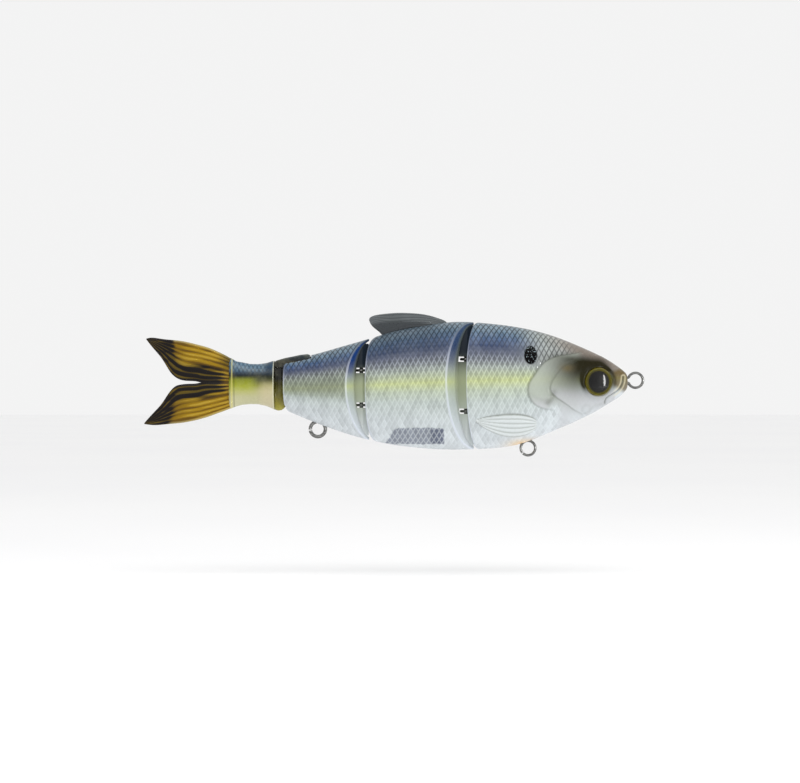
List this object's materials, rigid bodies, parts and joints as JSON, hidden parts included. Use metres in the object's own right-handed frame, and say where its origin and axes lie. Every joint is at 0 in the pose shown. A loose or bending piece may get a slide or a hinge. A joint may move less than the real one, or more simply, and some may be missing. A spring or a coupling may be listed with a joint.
{
  "type": "jointed swimbait",
  "caption": "Shad-shaped jointed swimbait with a hard hollow body in sections on vertical hinge pins, a plug-in soft tail, a line tie and belly hook hangers.",
  "frame": {"origin": "centre of the line tie ring at the nose", "axes": "+X towards the nose and line, +Z towards the back, +Y towards the fish's left side"},
  "size_m": [0.1875, 0.0236, 0.0539],
  "materials": {
    "painted_shell": "translucent printed plastic under a clear gloss coat, navy back fading to a silver belly",
    "wire": "bright drawn stainless wire",
    "ballast": "dull cast metal",
    "eye_print": "printed foil iris, olive gold with a black pupil",
    "eye_lens": "clear domed resin",
    "dorsal_fin": "satin grey, finely rayed",
    "soft_tail": "soft glossy plastic, blue back fading through yellow-green to cream",
    "tail_fin": "soft translucent amber plastic with dark rays and black edges"
  },
  "bodies": {
    "head": {"head_shell_right": "painted_shell", "head_shell_left": "painted_shell", "head_ballast": "ballast", "line_tie": "wire", "front_belly_hanger": "wire", "right_eye_disc": "eye_print", "left_eye_disc": "eye_print", "right_eye_lens": "eye_lens", "left_eye_lens": "eye_lens", "front_hinge_upper_loop": "wire", "front_hinge_lower_loop": "wire"},
    "middle": {"middle_shell_right": "painted_shell", "middle_shell_left": "painted_shell", "middle_ballast_bar": "ballast", "middle_ballast_slug": "ballast", "dorsal_fin": "dorsal_fin", "front_hinge_pin": "wire", "rear_hinge_upper_loop": "wire", "rear_hinge_lower_loop": "wire"},
    "rear": {"rear_shell_right": "painted_shell", "rear_shell_left": "painted_shell", "rear_hinge_pin": "wire", "rear_belly_hanger": "wire"},
    "tail_mount": {"tail_plug": "soft_tail"},
    "tail": {"tail_stalk": "soft_tail", "tail_fin": "tail_fin"}
  },
  "joints": [
    {"name": "front_joint", "type": "hinge", "parent": "head", "child": "middle", "pos_m": [-0.0636, 0, 0], "axis": [0, 0, 1], "range_deg": [-28, 28]},
    {"name": "rear_joint", "type": "hinge", "parent": "middle", "child": "rear", "pos_m": [-0.1028, 0, 0], "axis": [0, 0, 1], "range_deg": [-35, 35]},
    {"name": "tail_lift", "type": "slide", "parent": "rear", "child": "tail_mount", "axis": [0, 0, 1], "range_m": [0, 0.024]},
    {"name": "tail_flex", "type": "hinge", "parent": "tail_mount", "child": "tail", "pos_m": [-0.1334, 0, 0], "axis": [0, 0, 1], "range_deg": [-20, 20], "stiffness_Nm_per_rad": 0.02}
  ]
}
